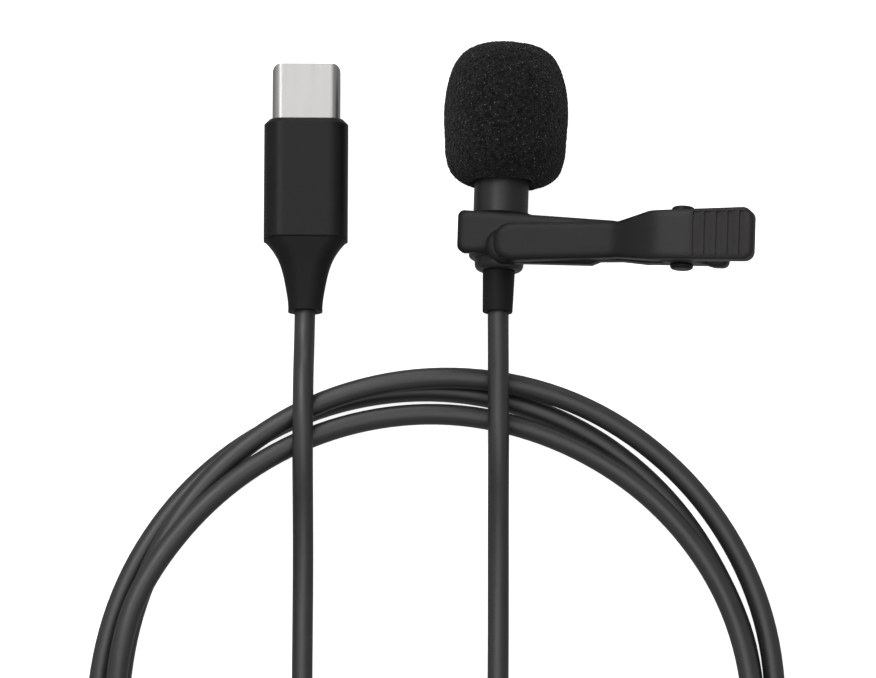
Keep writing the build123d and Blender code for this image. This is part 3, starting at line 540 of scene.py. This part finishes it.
def make_foam():
    """The foam's skin and bore: its outline turned round the microphone, with relief, shift and lean."""
    mesh = bpy.data.meshes.new("windscreen_foam")
    shape = bmesh.new()
    rings = []
    for j in range(1, FOAM_ALONG + 1):
        y, radius = outline_at(j / FOAM_ALONG)
        y2, radius2 = outline_at((j - 1) / FOAM_ALONG)
        slope = Vector((radius - radius2, y - y2)).normalized()
        ring = []
        for k in range(FOAM_AROUND):
            angle = 2 * pi * k / FOAM_AROUND
            out = Vector((cos(angle) * -slope.y, slope.x, sin(angle) * -slope.y))
            place = Vector((radius * cos(angle), y, radius * sin(angle)))
            if y > MOUTH_TOP or radius > FOAM_BORE_R + MOUTH_RIM:
                place += out * foam_relief(place)
            free = min(1.0, max(0.0, (radius - FOAM_BORE_R) / GRIP_DEEP))
            loose = 1.0 if y > GRIP_TOP else free
            place.x += loose * (FOAM_SHIFT - y * sin(FOAM_LEAN))
            ring.append(shape.verts.new(place))
        rings.append(ring)
    top = shape.verts.new((FOAM_SHIFT - FOAM_OUTLINE[0][0] * sin(FOAM_LEAN), FOAM_OUTLINE[0][0], 0))
    for k in range(FOAM_AROUND):
        after = (k + 1) % FOAM_AROUND
        shape.faces.new((top, rings[0][k], rings[0][after]))
        for upper, lower in zip(rings, rings[1:]):
            shape.faces.new((upper[k], lower[k], lower[after], upper[after]))
    for vert in shape.verts:
        vert.co = (vert.co + Vector((MIC_X, 0, MIC_Z))) * MM
        vert.co.z = max(vert.co.z, TABLE_GAP * MM)
    bmesh.ops.recalc_face_normals(shape, faces=shape.faces)
    shape.to_mesh(mesh)
    mesh.shade_smooth()
    mesh.materials.append(MATERIALS["foam"])
    foam = bpy.data.objects.new("windscreen_foam", mesh)
    bpy.context.scene.collection.objects.link(foam)
    return foam


foam = make_foam()
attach(foam, "windscreen")
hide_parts("windscreen")

# ---------------------------------------------------------------- torsion spring
# The coil and its lower leg stay with the carrier. The upper leg turns with the jaw, and stays at
# a tangent to the coil because they share an axis, so the spring follows the jaw as it opens.
CLIP_SWING = 14.0               # degrees, the clip's slope at rest
JAW_Y = -9.65                   # the jaw's middle, along Y
PIN_U, PIN_W = 24.3, 7.2        # the pin, along the clip and across it, from the microphone's axis
SPRING_WIRE_R = 0.22
SPRING_R = 1.2
SPRING_PITCH = 0.5
SPRING_SWEEP = 1954.0           # degrees from the lower leg to the upper
SPRING_OVERRUN = 25.0           # the jaw's range, by which the coil runs on under the upper leg
SPRING_STEP = 15                # degrees between points of the coil
LOWER_SLOPE, LOWER_LONG = -8.0, 4.1     # each leg's slope in degrees, and its length
UPPER_SLOPE, UPPER_LONG = 18.0, 5.0


def on_spring(angle, y):
    """A point of the coil, angle degrees round the pin from +X."""
    swing = radians(CLIP_SWING)
    x = MIC_X + PIN_U * cos(swing) - PIN_W * sin(swing)
    z = MIC_Z + PIN_U * sin(swing) + PIN_W * cos(swing)
    return Vector((x + SPRING_R * cos(radians(angle)), y, z + SPRING_R * sin(radians(angle))))


def make_wire(name, path, body):
    """A length of round wire that follows a path and rides on a body."""
    line = bpy.data.curves.new(name, "CURVE")
    line.dimensions = "3D"
    line.bevel_depth = SPRING_WIRE_R * MM
    line.bevel_resolution = 4
    line.use_fill_caps = True
    spline = line.splines.new("POLY")
    spline.points.add(len(path) - 1)
    for place, point in zip(spline.points, path):
        place.co = (*(point * MM), 1)
    bent = bpy.data.objects.new(name + "_line", line)
    mesh = bpy.data.meshes.new_from_object(bent)
    bpy.data.objects.remove(bent)
    mesh.shade_smooth()
    mesh.materials.clear()
    mesh.materials.append(MATERIALS["spring_steel"])
    wire = bpy.data.objects.new(name, mesh)
    bpy.context.scene.collection.objects.link(wire)
    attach(wire, body)
    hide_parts("torsion_spring")


def make_spring():
    """The coil with its lower leg as one wire, and the upper leg as another."""
    long = SPRING_PITCH * SPRING_SWEEP / 360
    low, high = JAW_Y - long / 2, JAW_Y + long / 2
    start = LOWER_SLOPE - 90
    along = Vector((cos(radians(LOWER_SLOPE)), 0, sin(radians(LOWER_SLOPE))))
    path = [on_spring(start, low) + along * LOWER_LONG]
    turned = 0.0
    while turned < SPRING_SWEEP + SPRING_OVERRUN:
        path.append(on_spring(start - turned, low + long * min(1.0, turned / SPRING_SWEEP)))
        turned += SPRING_STEP
    make_wire("spring_coil", path, "clip_carrier")
    along = Vector((cos(radians(UPPER_SLOPE)), 0, sin(radians(UPPER_SLOPE))))
    foot = on_spring(UPPER_SLOPE + 90, high)
    make_wire("spring_upper_leg", [foot, foot + along * UPPER_LONG], "clip_jaw")


make_spring()

# ---------------------------------------------------------------- table and light
FLOOR_WIDE = 6.0
FLOOR_GLOW = 0.85               # the table's own light, which keeps it white
LIGHT_AIM = Vector((-18, -20, 5)) * MM
WORLD_STRENGTH = 0.32
# name, place, width and height, watts
LIGHTS = [
    ("key", (-0.35, 0.4, 0.7), (0.5, 0.5), 2.1),
    ("overhead", (0.0, -0.15, 1.1), (1.0, 1.0), 2.85),
    ("left", (-0.8, 0.15, 0.3), (0.7, 0.6), 0.25),
    ("back", (-0.1, 0.9, 0.35), (0.8, 0.4), 1.5),
]


def make_floor():
    """A white table, which neither lights the object nor shows in its reflections."""
    bpy.ops.mesh.primitive_plane_add(size=FLOOR_WIDE, location=(0, 0, 0))
    floor = bpy.context.object
    floor.name = "floor"
    material, nodes, links, shader, coords = new_material("paper")
    grain = noise_at(nodes, links, coords, 400)
    colour = two_tone(nodes, links, grain.outputs["Fac"], (0.93, 0.93, 0.93), (0.95, 0.95, 0.95))
    links.new(colour, shader.inputs["Base Color"])
    shader.inputs["Roughness"].default_value = 0.9
    shader.inputs["Specular IOR Level"].default_value = 0.1
    shader.inputs["Emission Color"].default_value = (1, 1, 1, 1)
    shader.inputs["Emission Strength"].default_value = FLOOR_GLOW
    floor.data.materials.append(material)
    floor.visible_glossy = False
    floor.visible_diffuse = False


def make_light(name, place, size, power):
    data = bpy.data.lights.new(name, "AREA")
    data.shape = "RECTANGLE"
    data.size, data.size_y = size
    data.energy = power
    light = bpy.data.objects.new(name, data)
    light.location = place
    light.rotation_euler = (light.location - LIGHT_AIM).to_track_quat("Z", "Y").to_euler()
    bpy.context.scene.collection.objects.link(light)


def make_world():
    """Dim soft light from all round, a little less of it from below."""
    world = bpy.data.worlds.new("studio")
    world.use_nodes = True
    nodes, links = world.node_tree.nodes, world.node_tree.links
    coords = nodes.new("ShaderNodeTexCoord")
    split = nodes.new("ShaderNodeSeparateXYZ")
    links.new(coords.outputs["Generated"], split.inputs["Vector"])
    ramp = nodes.new("ShaderNodeValToRGB")
    ramp.color_ramp.elements[0].position = 0.0
    ramp.color_ramp.elements[0].color = (0.9, 0.9, 0.9, 1)
    ramp.color_ramp.elements[1].position = 0.35
    ramp.color_ramp.elements[1].color = (1, 1, 1, 1)
    links.new(split.outputs["Z"], ramp.inputs["Fac"])
    links.new(ramp.outputs["Color"], nodes["Background"].inputs["Color"])
    nodes["Background"].inputs["Strength"].default_value = WORLD_STRENGTH
    bpy.context.scene.world = world


make_floor()
make_world()
for light in LIGHTS:
    make_light(*light)
bpy.context.scene.view_settings.view_transform = "Standard"

bpy.context.view_layer.update()
